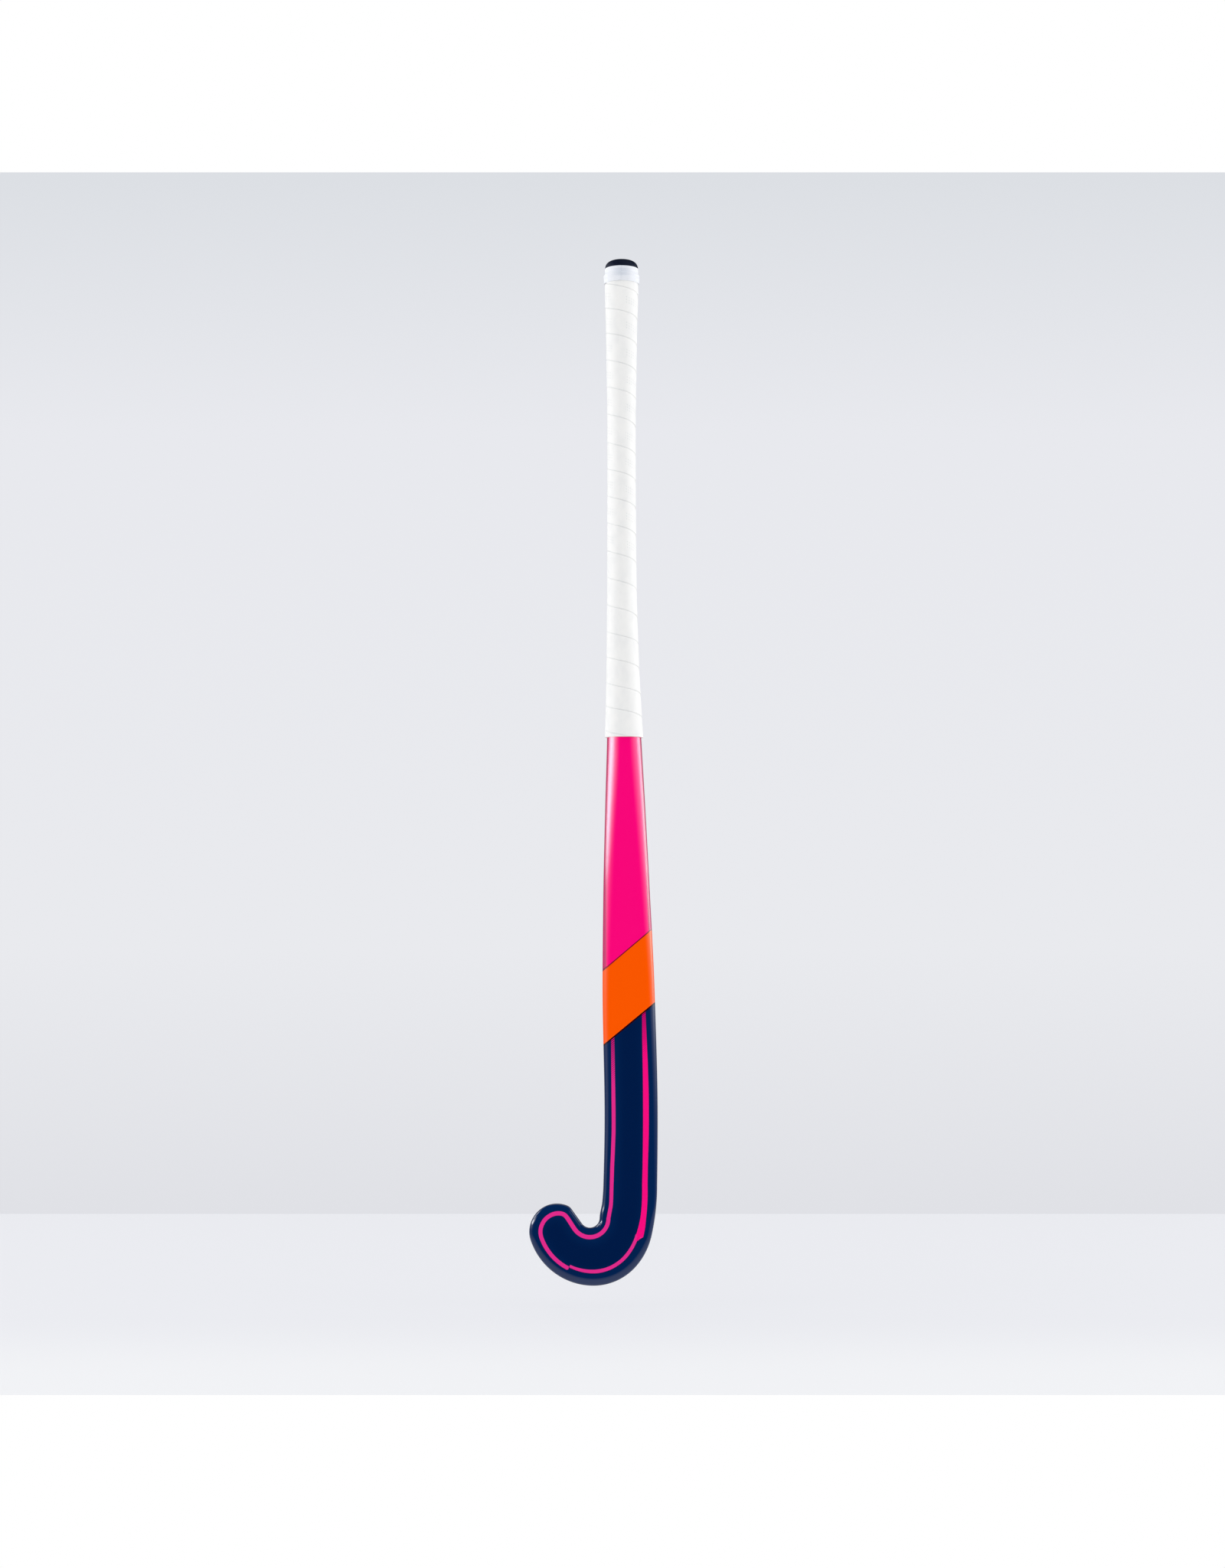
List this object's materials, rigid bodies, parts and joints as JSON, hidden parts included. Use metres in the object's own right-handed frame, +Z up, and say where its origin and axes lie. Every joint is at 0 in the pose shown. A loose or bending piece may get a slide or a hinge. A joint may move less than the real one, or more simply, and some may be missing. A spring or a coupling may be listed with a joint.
{
  "type": "indoor hockey stick",
  "caption": "Hollow composite indoor hockey stick with a hooked head, flat playing face, cushioned grip and rubber end cap.",
  "frame": {"origin": "on the handle's axis where the upper hand holds the stick, 0.700 m above the lowest point of the heel", "axes": "+Z up along the handle towards the butt, -Y the way the flat playing face looks, -X towards the toe"},
  "size_m": [0.1167, 0.0489, 0.9269],
  "materials": {
    "painted_laminate": "gloss clear coat over navy, orange and pink paint",
    "core_foam": "open-cell rigid foam",
    "rib_laminate": "unpainted laminate",
    "heel_strip": "painted over, flush",
    "plug_wood": "sanded end grain",
    "cap_rubber": "satin moulded rubber",
    "grip_cushion": "soft cushioned film with small pressed marks",
    "finishing_tape": "finely ribbed elastic tape"
  },
  "bodies": {
    "root": {"stick_shell": "painted_laminate", "head_core": "core_foam", "centre_rib": "rib_laminate", "heel_guard": "heel_strip", "butt_plug": "plug_wood", "end_cap": "cap_rubber", "grip_tape": "grip_cushion", "finishing_tape": "finishing_tape"}
  },
  "joints": []
}
